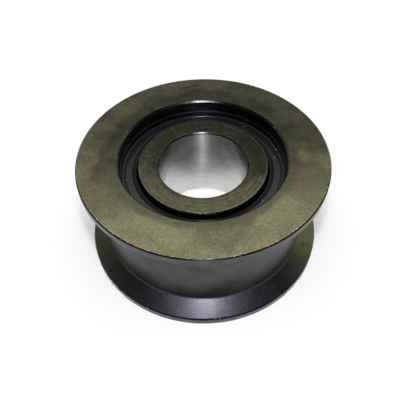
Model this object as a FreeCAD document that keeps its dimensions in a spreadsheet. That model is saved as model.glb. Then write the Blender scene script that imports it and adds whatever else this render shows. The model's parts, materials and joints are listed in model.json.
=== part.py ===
import FreeCAD, Part

import os

import Sketcher

# Flanged belt pulley that turns on its own sealed ball bearing with two rows of balls.
# The pulley lies on one flange: Z is the axis of turning, and the origin is the middle of the bore,
# half-way across the width. The two halves mirror each other about z = 0.

# Driving sizes: name, number in millimetres (or degrees, or a count), and what it measures
SIZES = [
    ("tread_diameter", 94, "flat tread that the belt runs on"),
    ("flange_height", 8, "how far the flanges stand above the tread"),
    ("pulley_width", 50, "from one outer face of the pulley to the other"),
    ("rim_width", 3.8, "flat rim of a flange, with its broken edges"),
    ("flange_angle", 29, "slope of a flange's inner side, in degrees from square to the axis"),
    ("root_fillet", 1.5, "rounding where the tread meets a flange"),
    ("rim_chamfer", 0.5, "broken edges of the rims"),
    ("mouth_chamfer", 0.8, "chamfer at the mouth of the recess in each face"),
    ("ledge_width", 0.5, "ledge between the recess and the seal seat"),
    ("ledge_drop", 0.5, "how far that ledge lies below the inner ring's face"),
    ("seat_shoulder", 0.7, "shoulder that the seal is pushed against"),
    ("bore_diameter", 40, "bore for the fixed pin"),
    ("bore_chamfer", 0.4, "lead-in at both ends of the bore"),
    ("ring_chamfer", 0.5, "broken outer edges of the inner ring"),
    ("pitch_diameter", 64.5, "circle through the ball centres"),
    ("ball_diameter", 11, "bearing balls"),
    ("ball_count", 10, "balls in one row"),
    ("ball_play", 0.1, "gap between a ball and the bottom of either track"),
    ("track_share", 0.52, "track radius as a share of the ball diameter"),
    ("track_depth", 2.35, "depth of a ball track below its shoulder"),
    ("row_gap", 3, "space between the two rows of balls"),
    ("cage_gap", 1.1, "room between a cage and the rings inside and outside it"),
    ("cage_back", 1.2, "cage ring behind the balls"),
    ("cage_round", 0.5, "rounded back edges of the cage"),
    ("pocket_gap", 0.15, "room round a ball in its cage pocket"),
    ("horn_reach", 1.8, "how far the cage's horns close over the ball's middle"),
    ("horn_wall", 1.5, "thickness of a horn beside its ball"),
    ("valley_web", 4, "cage ring left behind the valley between two horns"),
    ("cage_end_gap", 0.7, "room between a cage and its seal"),
    ("seal_thickness", 2.6, "seal from its outer face to its seat"),
    ("seal_squeeze", 0.05, "how much wider the rubber is than its seat, on the radius"),
    ("membrane_thickness", 1.6, "flat part of the seal"),
    ("band_width", 1.0, "thick outer band of the seal"),
    ("band_drop", 0.2, "how far that band lies below the seal's face"),
    ("band_groove_width", 0.5, "groove between the band and the seal's face"),
    ("band_groove_depth", 0.7, "depth of that groove below the seal's face"),
    ("face_round", 0.3, "rounded edges beside that groove"),
    ("lip_clearance", 0.15, "running clearance between the seal lip and the inner ring"),
    ("lip_slope", 0.65, "sloped end of the seal lip, on the radius"),
    ("lip_fall", 0.9, "how far the lip slopes down to its tip"),
    ("lip_tip", 0.4, "thickness of the lip at its tip"),
    ("ridge_width", 0.55, "one of the lip's two ridges"),
    ("ridge_drop", 0.25, "how far the ridges lie below the seal's face"),
    ("ridge_groove_width", 0.25, "groove beside each ridge"),
    ("ridge_groove_depth", 0.4, "depth of that groove below the ridges"),
    ("ring_stand", 2.5, "how far the inner ring stands above the seals"),
]

# Radii from the axis, as expressions of the driving sizes
TREAD = "(Sizes.tread_diameter / 2)"
RIM = f"({TREAD} + Sizes.flange_height)"
BORE = "(Sizes.bore_diameter / 2)"
PITCH = "(Sizes.pitch_diameter / 2)"
BALL = "(Sizes.ball_diameter / 2)"
TRACK = "(Sizes.ball_diameter * Sizes.track_share)"
INNER_TRACK_BOTTOM = f"({PITCH} - {BALL} - Sizes.ball_play)"
OUTER_TRACK_BOTTOM = f"({PITCH} + {BALL} + Sizes.ball_play)"
INNER_SHOULDER = f"({INNER_TRACK_BOTTOM} + Sizes.track_depth)"
OUTER_SHOULDER = f"({OUTER_TRACK_BOTTOM} - Sizes.track_depth)"
SEAT = f"({OUTER_SHOULDER} + Sizes.seat_shoulder)"
RECESS = f"({SEAT} + Sizes.ledge_width)"

# Heights above the middle plane; the stack of the bearing sets how deep its faces lie in the pulley
FACE = "(Sizes.pulley_width / 2)"
RIM_EDGE = f"({FACE} - Sizes.rim_width)"
TREAD_EDGE = f"({RIM_EDGE} - Sizes.flange_height * tan(Sizes.flange_angle * 1 deg))"
ROW = f"(Sizes.row_gap / 2 + {BALL})"
CAGE_MOUTH = f"({ROW} - Sizes.horn_reach)"
CAGE_BACK = f"({ROW} + {BALL} + Sizes.cage_back)"
SEAL_BACK = f"({CAGE_BACK} + Sizes.cage_end_gap)"
SEAL_FACE = f"({SEAL_BACK} + Sizes.seal_thickness)"
RING_FACE = f"({SEAL_FACE} + Sizes.ring_stand)"
LEDGE = f"({RING_FACE} - Sizes.ledge_drop)"

# Angles round the axis: each row has a ball every ball pitch, starting half a pitch round
BALL_PITCH = "(360 / Sizes.ball_count)"
FIRST_BALL = f"({BALL_PITCH} / 2)"

LIP_RIDGES = 2
MATCH = 1e-4
FULL_TURN = 360
UPRIGHT = FreeCAD.Rotation(FreeCAD.Vector(1, 0, 0), 0)
TURNED_OVER = FreeCAD.Rotation(FreeCAD.Vector(1, 0, 0), 180)

doc = FreeCAD.newDocument("BeltPulley")


def make_sheet():
    """Put the driving sizes in a sheet, one row each: name, number, meaning."""
    table = doc.addObject("Spreadsheet::Sheet", "Sizes")
    for row, (name, number, meaning) in enumerate(SIZES, start=1):
        table.set(f"A{row}", name)
        table.set(f"B{row}", str(number))
        table.setAlias(f"B{row}", name)
        table.set(f"C{row}", meaning)
    doc.recompute()
    return table


sheet = make_sheet()


def value(expression):
    """The number that an expression of the driving sizes comes to now."""
    return float(sheet.evalExpression(expression))


def origin_feature(body, role):
    """A plane or axis of a body's own origin."""
    return next(item for item in body.Origin.OriginFeatures if item.Role == role)


def new_sketch(body, name, plane):
    """An empty sketch on one of the body's origin planes."""
    sketch = body.newObject("Sketcher::SketchObject", name)
    sketch.AttachmentSupport = (origin_feature(body, plane), [""])
    sketch.MapMode = "FlatFace"
    return sketch


def dimension(sketch, kind, expression, *places):
    """Add a dimension whose size is an expression of the driving sizes."""
    index = sketch.addConstraint(Sketcher.Constraint(kind, *places, value(expression)))
    sketch.setExpression(f"Constraints[{index}]", expression)


def half_section(body, name, corners):
    """A closed section beside the axis, from its corners (radius, height) in order."""
    sketch = new_sketch(body, name, "XZ_Plane")
    points = [FreeCAD.Vector(value(radius), value(height), 0) for radius, height in corners]
    following = points[1:] + points[:1]
    for start, end in zip(points, following):
        sketch.addGeometry(Part.LineSegment(start, end), False)
    for line, (radius, height) in enumerate(corners):
        sketch.addConstraint(Sketcher.Constraint("Coincident", line, 2, (line + 1) % len(corners), 1))
        dimension(sketch, "DistanceX", radius, -1, 1, line, 1)
        dimension(sketch, "DistanceY", height, -1, 1, line, 1)
    return sketch


def circle_section(body, name, radius, centre_radius, centre_height):
    """A circle beside the axis."""
    sketch = new_sketch(body, name, "XZ_Plane")
    centre = FreeCAD.Vector(value(centre_radius), value(centre_height), 0)
    sketch.addGeometry(Part.Circle(centre, FreeCAD.Vector(0, 0, 1), value(radius)), False)
    dimension(sketch, "Radius", radius, 0)
    dimension(sketch, "DistanceX", centre_radius, -1, 1, 0, 3)
    dimension(sketch, "DistanceY", centre_height, -1, 1, 0, 3)
    return sketch


def turned(body, kind, name, sketch):
    """Turn a sketch round the axis, as added metal (Revolution) or as a cut (Groove)."""
    feature = body.newObject(f"PartDesign::{kind}", name)
    feature.Profile = sketch
    feature.ReferenceAxis = (sketch, ["V_Axis"])
    feature.Angle = FULL_TURN
    doc.recompute()
    return feature


def mirrored(body, name, originals):
    """Repeat features of the upper half in the lower half."""
    feature = body.newObject("PartDesign::Mirrored", name)
    feature.Originals = originals
    feature.MirrorPlane = (origin_feature(body, "XY_Plane"), [""])
    body.Tip = feature
    doc.recompute()
    return feature


def round_edges(shape, places):
    """Names of the circular edges at these (radius, height) places, in both halves."""
    wanted = [(value(radius), value(height)) for radius, height in places]
    names = []
    for number, edge in enumerate(shape.Edges, start=1):
        if not isinstance(edge.Curve, Part.Circle):
            continue
        circle = edge.Curve
        for radius, height in wanted:
            if abs(circle.Radius - radius) < MATCH and abs(abs(circle.Center.z) - height) < MATCH:
                names.append(f"Edge{number}")
    return names


def dressed(body, kind, name, size, places):
    """Fillet or chamfer the circular edges at these places by a driving size."""
    base = body.Tip
    feature = body.newObject(f"PartDesign::{kind}", name)
    feature.Base = (base, round_edges(base.Shape, places))
    feature.setExpression("Radius" if kind == "Fillet" else "Size", f"Sizes.{size}")
    doc.recompute()
    return feature


def new_body(label):
    """A body for one sub-part."""
    body = doc.addObject("PartDesign::Body", label)
    body.Label = label
    return body


def pulley_ring():
    """Pulley turned from one piece, with the outer ball tracks and seal seats inside it."""
    body = new_body("pulley_ring")
    blank = half_section(body, "TurnedSection", [
        (OUTER_SHOULDER, f"-{FACE}"),
        (RIM, f"-{FACE}"),
        (RIM, f"-{RIM_EDGE}"),
        (TREAD, f"-{TREAD_EDGE}"),
        (TREAD, TREAD_EDGE),
        (RIM, RIM_EDGE),
        (RIM, FACE),
        (OUTER_SHOULDER, FACE),
    ])
    turned(body, "Revolution", "Turned", blank)
    recess_section = half_section(body, "RecessSection", [
        (OUTER_SHOULDER, SEAL_BACK),
        (SEAT, SEAL_BACK),
        (SEAT, LEDGE),
        (RECESS, LEDGE),
        (RECESS, FACE),
        (OUTER_SHOULDER, FACE),
    ])
    recess = turned(body, "Groove", "RecessAndSealSeat", recess_section)
    track_section = circle_section(body, "TrackSection", TRACK, f"({OUTER_TRACK_BOTTOM} - {TRACK})", ROW)
    track = turned(body, "Groove", "BallTrack", track_section)
    mirrored(body, "LowerRecessAndTrack", [recess, track])
    dressed(body, "Fillet", "RootFillets", "root_fillet", [(TREAD, TREAD_EDGE)])
    dressed(body, "Chamfer", "RimChamfers", "rim_chamfer", [(RIM, FACE), (RIM, RIM_EDGE)])
    dressed(body, "Chamfer", "MouthChamfers", "mouth_chamfer", [(RECESS, FACE)])
    return body


def inner_ring():
    """Ring that stays still on the pin, with the inner ball tracks."""
    body = new_body("inner_ring")
    blank = half_section(body, "TurnedSection", [
        (BORE, f"-{RING_FACE}"),
        (INNER_SHOULDER, f"-{RING_FACE}"),
        (INNER_SHOULDER, RING_FACE),
        (BORE, RING_FACE),
    ])
    turned(body, "Revolution", "Turned", blank)
    track_section = circle_section(body, "TrackSection", TRACK, f"({INNER_TRACK_BOTTOM} + {TRACK})", ROW)
    track = turned(body, "Groove", "BallTrack", track_section)
    mirrored(body, "LowerTrack", [track])
    dressed(body, "Chamfer", "BoreChamfers", "bore_chamfer", [(BORE, RING_FACE)])
    dressed(body, "Chamfer", "OuterChamfers", "ring_chamfer", [(INNER_SHOULDER, RING_FACE)])
    return body


def seal(label, rotation):
    """Rubber seal: a band in its seat, a flat membrane and a ridged lip that runs on the inner ring."""
    body = new_body(label)
    outside = f"({SEAT} + Sizes.seal_squeeze)"
    band_inside = f"({SEAT} - Sizes.band_width)"
    band_top = f"({SEAL_FACE} - Sizes.band_drop)"
    groove_inside = f"({band_inside} - Sizes.band_groove_width)"
    groove_floor = f"({SEAL_FACE} - Sizes.band_groove_depth)"
    membrane_back = f"({SEAL_FACE} - Sizes.membrane_thickness)"
    lip_end = f"({INNER_SHOULDER} + Sizes.lip_clearance)"
    slope_top = f"({lip_end} + Sizes.lip_slope)"
    ridge_top = f"({SEAL_FACE} - Sizes.ridge_drop)"
    ridge_floor = f"({ridge_top} - Sizes.ridge_groove_depth)"
    tip_top = f"({ridge_top} - Sizes.lip_fall)"

    # Each ridge ends where the next groove begins, counted outwards from the slope
    corners = []
    inner = slope_top
    for _ in range(LIP_RIDGES):
        outer = f"({inner} + Sizes.ridge_width)"
        following = f"({outer} + Sizes.ridge_groove_width)"
        groove = [(following, ridge_floor), (outer, ridge_floor)]
        ridge = [(outer, ridge_top), (inner, ridge_top)]
        corners = groove + ridge + corners
        inner = following
    lip_root = inner
    section = half_section(body, "MouldSection", [
        (outside, SEAL_BACK),
        (outside, band_top),
        (band_inside, band_top),
        (band_inside, groove_floor),
        (groove_inside, groove_floor),
        (groove_inside, SEAL_FACE),
        (lip_root, SEAL_FACE),
        *corners,
        (lip_end, tip_top),
        (lip_end, f"({tip_top} - Sizes.lip_tip)"),
        (lip_root, membrane_back),
        (groove_inside, membrane_back),
        (groove_inside, SEAL_BACK),
    ])
    turned(body, "Revolution", "Moulded", section)
    dressed(body, "Fillet", "FaceRounds", "face_round", [(groove_inside, SEAL_FACE), (band_inside, band_top)])
    body.Placement = FreeCAD.Placement(FreeCAD.Vector(), rotation)
    return body


def valley_sketch(body):
    """Round-ended valley between two horns, drawn from the middle plane upwards on the YZ plane."""
    half_width = f"({PITCH} * sin({FIRST_BALL} * 1 deg) - {BALL} - Sizes.pocket_gap - Sizes.horn_wall)"
    end_centre = f"({CAGE_BACK} - Sizes.valley_web - {half_width})"
    wide = value(half_width)
    high = value(end_centre)
    sketch = new_sketch(body, "ValleySection", "YZ_Plane")
    corners = [
        FreeCAD.Vector(-wide, high, 0),
        FreeCAD.Vector(-wide, 0, 0),
        FreeCAD.Vector(wide, 0, 0),
        FreeCAD.Vector(wide, high, 0),
    ]
    for start, end in zip(corners, corners[1:]):
        sketch.addGeometry(Part.LineSegment(start, end), False)
    crown = FreeCAD.Vector(0, high + wide, 0)
    sketch.addGeometry(Part.Arc(corners[3], crown, corners[0]), False)
    sketch.addConstraint([
        Sketcher.Constraint("Coincident", 0, 2, 1, 1),
        Sketcher.Constraint("Coincident", 1, 2, 2, 1),
        Sketcher.Constraint("Tangent", 2, 2, 3, 1),
        Sketcher.Constraint("Tangent", 3, 2, 0, 1),
        Sketcher.Constraint("Symmetric", 1, 1, 1, 2, -1, 1),
        Sketcher.Constraint("Vertical", 0),
        Sketcher.Constraint("Vertical", 2),
    ])
    dimension(sketch, "DistanceX", f"2 * {half_width}", 1, 1, 1, 2)
    dimension(sketch, "DistanceY", end_centre, -1, 1, 3, 3)
    return sketch


def cage(label, rotation):
    """Snap-in cage: a ring behind the balls whose horns close round each ball."""
    body = new_body(label)
    inside = f"({INNER_SHOULDER} + Sizes.cage_gap)"
    outside = f"({OUTER_SHOULDER} - Sizes.cage_gap)"
    section = half_section(body, "RingSection", [
        (inside, CAGE_MOUTH),
        (outside, CAGE_MOUTH),
        (outside, CAGE_BACK),
        (inside, CAGE_BACK),
    ])
    turned(body, "Revolution", "Ring", section)
    dressed(body, "Fillet", "BackRounds", "cage_round", [(inside, CAGE_BACK), (outside, CAGE_BACK)])
    pocket = body.newObject("PartDesign::SubtractiveSphere", "BallPocket")
    pocket.setExpression("Radius", f"{BALL} + Sizes.pocket_gap")
    pocket.setExpression("Placement.Base.x", f"{PITCH} * cos({FIRST_BALL} * 1 deg)")
    pocket.setExpression("Placement.Base.y", f"{PITCH} * sin({FIRST_BALL} * 1 deg)")
    pocket.setExpression("Placement.Base.z", ROW)
    doc.recompute()
    valley = body.newObject("PartDesign::Pocket", "HornValley")
    valley.Profile = valley_sketch(body)
    valley.Type = "ThroughAll"
    valley.Reversed = True
    doc.recompute()
    ring_of_pockets = body.newObject("PartDesign::PolarPattern", "PocketsAndValleys")
    ring_of_pockets.Originals = [pocket, valley]
    ring_of_pockets.Axis = (origin_feature(body, "Z_Axis"), [""])
    ring_of_pockets.Angle = FULL_TURN
    ring_of_pockets.setExpression("Occurrences", "Sizes.ball_count")
    body.Tip = ring_of_pockets
    doc.recompute()
    body.Placement = FreeCAD.Placement(FreeCAD.Vector(), rotation)
    return body


def ball(label, number, height):
    """One bearing ball, numbered round its row."""
    angle = f"(({FIRST_BALL} + {BALL_PITCH} * ({number} - 1)) * 1 deg)"
    sphere = doc.addObject("Part::Sphere", label)
    sphere.Label = label
    sphere.setExpression("Radius", BALL)
    sphere.setExpression("Placement.Base.x", f"{PITCH} * cos({angle})")
    sphere.setExpression("Placement.Base.y", f"{PITCH} * sin({angle})")
    sphere.setExpression("Placement.Base.z", height)
    return sphere


def check_document(parts):
    """Stop if any object failed, any cut removed nothing, or any sub-part isn't one sound solid."""
    for item in doc.Objects:
        if "Invalid" in item.State or "Error" in item.State:
            raise RuntimeError(f"{item.Name} failed: {item.State}")
        cuts = ("PartDesign::Groove", "PartDesign::Pocket", "PartDesign::SubtractiveSphere")
        if item.TypeId in cuts and item.Shape.Volume >= item.BaseFeature.Shape.Volume:
            raise RuntimeError(f"{item.Name} cuts nothing")
    for part in parts:
        shape = part.Shape
        if shape.isNull() or not shape.isValid() or len(shape.Solids) != 1:
            raise RuntimeError(f"{part.Label} isn't one sound solid")


def main():
    """Build every sub-part, check them and write one file for each."""
    parts = [pulley_ring(), inner_ring()]
    for row, rotation, height in (("upper", UPRIGHT, ROW), ("lower", TURNED_OVER, f"-{ROW}")):
        parts.append(seal(f"{row}_seal", rotation))
        parts.append(cage(f"{row}_cage", rotation))
        for number in range(1, int(value("Sizes.ball_count")) + 1):
            parts.append(ball(f"{row}_ball_{number:02d}", number, height))
    doc.recompute()
    check_document(parts)
    os.makedirs("parts", exist_ok=True)
    for part in parts:
        part.Shape.exportStep(f"parts/{part.Label}.step")


main()
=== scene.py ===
"""Looks of a flanged belt pulley that turns on its own sealed ball bearing.

Sizes are in millimetres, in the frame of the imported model: Z is the axis of turning, and the origin is
the middle of the bore, half-way across the width. MM turns them into Blender's metres.
"""

import functools
import json
import logging
import math
from abc import ABC, abstractmethod
from dataclasses import dataclass
from enum import Enum
from typing import Any

import bpy
import numpy as np
from mathutils import Matrix, Vector


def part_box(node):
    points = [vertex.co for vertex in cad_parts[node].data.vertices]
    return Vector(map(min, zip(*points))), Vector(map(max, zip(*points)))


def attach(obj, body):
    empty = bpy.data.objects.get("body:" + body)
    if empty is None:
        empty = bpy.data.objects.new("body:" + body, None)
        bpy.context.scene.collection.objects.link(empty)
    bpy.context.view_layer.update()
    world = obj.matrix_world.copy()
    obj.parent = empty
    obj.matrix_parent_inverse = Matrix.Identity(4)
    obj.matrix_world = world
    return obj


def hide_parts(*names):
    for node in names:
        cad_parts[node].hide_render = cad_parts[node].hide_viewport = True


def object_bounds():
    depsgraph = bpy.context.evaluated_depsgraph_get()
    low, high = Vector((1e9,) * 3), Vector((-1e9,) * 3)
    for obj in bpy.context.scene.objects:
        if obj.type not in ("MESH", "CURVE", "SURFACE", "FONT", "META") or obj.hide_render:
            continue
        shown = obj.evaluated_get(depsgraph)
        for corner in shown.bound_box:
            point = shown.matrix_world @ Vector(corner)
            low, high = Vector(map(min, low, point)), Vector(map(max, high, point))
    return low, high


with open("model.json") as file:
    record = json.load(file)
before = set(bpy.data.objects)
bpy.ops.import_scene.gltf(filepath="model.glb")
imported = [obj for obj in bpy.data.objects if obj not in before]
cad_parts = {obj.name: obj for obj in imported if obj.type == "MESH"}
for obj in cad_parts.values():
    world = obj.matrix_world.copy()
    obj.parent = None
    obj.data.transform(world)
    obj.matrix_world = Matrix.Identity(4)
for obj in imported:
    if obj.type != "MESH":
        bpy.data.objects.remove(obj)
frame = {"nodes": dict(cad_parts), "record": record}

CAD_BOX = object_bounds()
MM = 0.001
TAU = 2 * math.pi

# Sampling of the turned surfaces
TURN_STEPS = 432
TURN_START = math.pi / 2
ARC_POINTS = 5
TRACK_POINTS = 15
SUPPORT_MM = 0.35
SUPPORT_SHARE = 0.3

# Coordinates that the finishes read from the turned pieces
LAY = "lay"
UNROLLED = "unrolled"

# Range that nearly all of a noise pattern falls in
NOISE_LOW = 0.3
NOISE_HIGH = 0.7

# Sockets of a mix node's colour form, which share their names with those of its other forms
MIX_FROM = 6
MIX_TO = 7
MIX_COLOUR = 2

# Share of a full turn that draws the glints out across the tool's lines
QUARTER_TURN = 0.25

log = logging.getLogger("belt_pulley")


class Zone(Enum):
    """Stretches of surface that were finished in one way."""

    TREAD = "turned tread"
    CONE = "blasted flange side"
    RIM = "turned rim"
    CHAMFER = "broken edge"
    RIM_EDGE = "broken rim edge"
    FACE = "ground pulley face"
    RECESS = "turned recess"
    RING_FACE = "turned ring face"
    RING_WALL = "turned ring wall"
    BORE = "ground bore"
    TRACK = "ground ball track"
    RUBBER = "moulded rubber"
    # The lip beside the inner ring, painted darker for the ring's shade
    LIP_IN_PAINTED_SHADE = "sealing lip"
    NYLON = "moulded nylon"
    BALL = "lapped ball"


class Side(Enum):
    """The two halves of the bearing; half a turn about X carries the upper one into the lower one."""

    UPPER = "upper"
    LOWER = "lower"

    def turned(self, points: np.ndarray) -> np.ndarray:
        """Points of the upper half, carried to this half."""
        return points if self is Side.UPPER else points * (1, -1, -1)


class LampShape(Enum):
    """Outline of a lamp, with the share of its sides' product that it covers."""

    RECTANGLE = 1.0
    ELLIPSE = math.pi / 4


Row = tuple[float, float, float, Zone]
Socket = bpy.types.NodeSocket


def linear(hex_colour: str) -> tuple[float, ...]:
    """Turn an sRGB colour into linear light.

    Each channel up to 0.04045 is divided by 12.92, and above it is ((c + 0.055) / 1.055) to the power 2.4.

    Args:
        hex_colour: Colour as #rrggbb.

    Returns:
        Red, green, blue and an alpha of one.
    """
    srgb = np.array(list(bytes.fromhex(hex_colour[1:]))) / 255
    light = np.where(srgb <= 0.04045, srgb / 12.92, ((srgb + 0.055) / 1.055) ** 2.4)
    return (*light.tolist(), 1.0)


def per_metre(size_mm: float) -> float:
    """Pattern scale at which one cell of a pattern is size_mm long."""
    return 1 / (size_mm * MM)


def box_mm(node: str) -> tuple[np.ndarray, np.ndarray]:
    """Lowest and highest corner of a CAD node in millimetres."""
    low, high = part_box(node)
    return np.array(low) / MM, np.array(high) / MM


def row_height() -> float:
    """Height of the upper row's ball centres above the middle plane, in millimetres."""
    low, high = box_mm("upper_ball_01")
    return float(low[2] + high[2]) / 2


class Paint:
    """A material in the making: its node tree, and the object's coordinates in metres as its place."""

    def __init__(self, name: str) -> None:
        """Start a material that has only its output node.

        Args:
            name: The material's name.
        """
        self.material = bpy.data.materials.new(name)
        self.material.use_nodes = True
        self.tree = self.material.node_tree
        self.tree.nodes.remove(self.tree.nodes["Principled BSDF"])
        self.place = self.add("TexCoord", output="Object")

    def add(
        self, kind: str, feeds: dict[Any, Any] | None = None, output: str | int = 0, **settings: Any,
    ) -> Socket:
        """Add one node, set its options and feed its sockets.

        Args:
            kind: The node's type name, without ShaderNode in front.
            feeds: Socket names or numbers, each with a value or with the output that is linked to it.
            output: Name or number of the output that is wanted.
            settings: Options of the node.

        Returns:
            The output.
        """
        node = self.tree.nodes.new("ShaderNode" + kind)
        for option, setting in settings.items():
            setattr(node, option, setting)
        for socket, feed in (feeds or {}).items():
            if isinstance(feed, Socket):
                self.tree.links.new(feed, node.inputs[socket])
            else:
                node.inputs[socket].default_value = feed
        return node.outputs[output]

    def finished(self, shader: Socket) -> bpy.types.Material:
        """The material, with a shader on its output."""
        self.tree.links.new(shader, self.tree.nodes["Material Output"].inputs["Surface"])
        return self.material

    def spread(self, noise: Socket, low: float, high: float) -> Socket:
        """A noise, stretched so that its usual range runs from a low to a high value."""
        ends = {"From Min": NOISE_LOW, "From Max": NOISE_HIGH, "To Min": low, "To Max": high}
        return self.add("MapRange", {"Value": noise, **ends}, clamp=False)

    def swing(self, noise: Socket, share: float) -> Socket:
        """A factor that swings by a share above and below one, with a noise."""
        return self.spread(noise, 1 - share, 1 + share)

    def axis_distance(self, place: Socket) -> Socket:
        """Distance of a place from the axis of turning: the length of its x and y."""
        flat = self.add("VectorMath", {0: place, 1: (1, 1, 0)}, operation="MULTIPLY")
        return self.add("VectorMath", {0: flat}, "Value", operation="LENGTH")


@dataclass(frozen=True)
class StainAndSheenSpot:
    """A round spot of another tone (stains, oxide patches and painted sheen): its middle, its reach, and its
    weight, its share of the full change.
    """

    place: tuple[float, float, float]
    reach: float
    thickness: float = 1.0


@dataclass(frozen=True)
class StainsAndPaintedSheen:
    """A lighter tone, but not in a few stains nor inside a radius from the axis: it draws dirt, a score,
    patches of tone and painted sheen.
    """

    stains: tuple[StainAndSheenSpot, ...]
    kept_radius: float = 0.0
    border: float = 5.0
    wave_mm: float = 12.0
    waviness: float = 2.0

    def mask(self, paint: Paint) -> Socket:
        """Mask that is one on the lighter tone.

        It is the product of one smooth step across the kept radius and one across the reach of each stain,
        which falls only by the stain's weight. A noise makes the borders wavy.

        Args:
            paint: The material.

        Returns:
            The mask.
        """
        waves = paint.add("TexNoise", {
            "Vector": paint.place, "Scale": per_metre(self.wave_mm), "Detail": 2.5, "Roughness": 0.5,
        })
        shift = paint.spread(waves, -self.waviness * MM, self.waviness * MM)
        lighter = self.step(paint, paint.axis_distance(paint.place), shift, self.kept_radius, 1.0)
        for stain in self.stains:
            middle = [part * MM for part in stain.place]
            length = paint.add("VectorMath", {0: paint.place, 1: middle}, "Value", operation="DISTANCE")
            beyond = self.step(paint, length, shift, stain.reach, stain.thickness)
            lighter = paint.add("Math", {0: lighter, 1: beyond}, operation="MULTIPLY")
        return lighter

    def step(self, paint: Paint, length: Socket, shift: Socket, reach: float, height: float) -> Socket:
        """Smooth step up to one where a length, shifted by the waves, passes a reach.

        Args:
            paint: The material.
            length: The length in metres.
            shift: The waves in metres.
            reach: Where the middle of the step is, in millimetres.
            height: Height of the step.

        Returns:
            The step.
        """
        return paint.add("MapRange", {
            "Value": paint.add("Math", {0: length, 1: shift}), "To Min": 1 - height,
            "From Min": (reach - self.border / 2) * MM, "From Max": (reach + self.border / 2) * MM,
        }, interpolation_type="SMOOTHSTEP")


@dataclass(frozen=True)
class Overlay(ABC):
    """Marks of one colour that lie on top of a finish."""

    colour: str

    @abstractmethod
    def mask(self, paint: Paint) -> Socket:
        """Mask that is one on the marks and zero beside them."""

    def over(self, paint: Paint, colour: Socket) -> Socket:
        """A finish's colour with the marks on top of it."""
        feeds = {0: self.mask(paint), MIX_FROM: colour, MIX_TO: linear(self.colour)}
        return paint.add("Mix", feeds, MIX_COLOUR, data_type="RGBA")


@dataclass(frozen=True)
class WornAndHighlitEdges(Overlay):
    """Broken bright lines at the edges of a flat ring, beyond two radii: partly rubbed, partly painted
    highlight.
    """

    inside: float
    outside: float
    bright_peaks: tuple[float, float]
    blur: float = 0.3
    piece_mm: float = 1.2

    def mask(self, paint: Paint) -> Socket:
        """Mask of the bright pieces.

        It rises where the distance from the middle radius passes half the width between the two radii, and
        is multiplied by the peaks of a noise, which leave it in short pieces.

        Args:
            paint: The material.

        Returns:
            The mask.
        """
        middle, half = (self.outside + self.inside) / 2, (self.outside - self.inside) / 2
        side = paint.add("Math", {0: paint.axis_distance(paint.place), 1: middle * MM}, operation="SUBTRACT")
        edge = paint.add("MapRange", {
            "Value": paint.add("Math", {0: side}, operation="ABSOLUTE"),
            "From Min": half * MM, "From Max": (half + self.blur) * MM,
        })
        pieces = paint.add("TexNoise", {
            "Vector": paint.place, "Scale": per_metre(self.piece_mm), "Detail": 1.0,
        })
        low, high = self.bright_peaks
        peaks = paint.add("MapRange", {"Value": pieces, "From Min": low, "From Max": high})
        return paint.add("Math", {0: edge, 1: peaks}, operation="MULTIPLY")


@dataclass(frozen=True)
class Specks(Overlay):
    """Scattered specks, such as dust, chips in the oxide and painted glints: one in some cells of a jittered
    grid.
    """

    spacing_mm: float
    size_mm: float
    share: float

    def mask(self, paint: Paint) -> Socket:
        """Mask of the specks.

        A point is on a speck where its distance from its cell's random centre is under half the speck's
        size, in the share of the cells whose random number is low enough.

        Args:
            paint: The material.

        Returns:
            The mask.
        """
        grid = {"Vector": paint.place, "Scale": per_metre(self.spacing_mm)}
        cells = paint.add("TexVoronoi", grid).node.outputs
        reach = self.size_mm / self.spacing_mm / 2
        near = paint.add("Math", {0: cells["Distance"], 1: reach}, operation="LESS_THAN")
        number = paint.add("SeparateColor", {"Color": cells["Color"]}, "Red")
        chosen = paint.add("Math", {0: number, 1: self.share}, operation="LESS_THAN")
        return paint.add("Math", {0: near, 1: chosen}, operation="MULTIPLY")


@dataclass(frozen=True)
class Patch(Overlay):
    """Places of another colour where a mask's stains fall, such as dirt, a score and a painted sheen."""

    stains_and_sheen: StainsAndPaintedSheen

    def mask(self, paint: Paint) -> Socket:
        """Mask of the stains, where the other mask is low."""
        return paint.add("Math", {0: 1.0, 1: self.stains_and_sheen.mask(paint)}, operation="SUBTRACT")


@dataclass(frozen=True)
class Scratches:
    """Sparse fine scratches that slant across a turned surface, in patches."""

    length_mm: float = 9.0
    width_mm: float = 0.4
    slant_deg: float = -52.0
    patch_mm: float = 12.0
    strength: float = 0.5
    peaks: tuple[float, float] = (0.31, 0.38)

    def factor(self, paint: Paint) -> Socket:
        """Brightness factor, lower on a scratch.

        A noise on the unrolled surface is stretched along the slant and multiplied by a second, coarse
        noise, and only the peaks of the product count.

        Args:
            paint: The material.

        Returns:
            The factor.
        """
        unrolled = paint.add("UVMap", uv_map=UNROLLED)
        slanted = paint.add("Mapping", {
            "Vector": unrolled, "Rotation": (0, 0, math.radians(self.slant_deg)),
            "Scale": (self.length_mm * MM, self.width_mm * MM, 1),
        }, vector_type="TEXTURE")
        lines = paint.add("TexNoise", {"Vector": slanted, "Scale": 1.0, "Detail": 1.0})
        patches = paint.add("TexNoise", {
            "Vector": unrolled, "Scale": per_metre(self.patch_mm), "Detail": 1.0,
        })
        low, high = self.peaks
        return paint.add("MapRange", {
            "Value": paint.add("Math", {0: lines, 1: patches}, operation="MULTIPLY"),
            "From Min": low, "From Max": high, "To Min": 1.0, "To Max": 1 - self.strength,
        })


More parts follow.
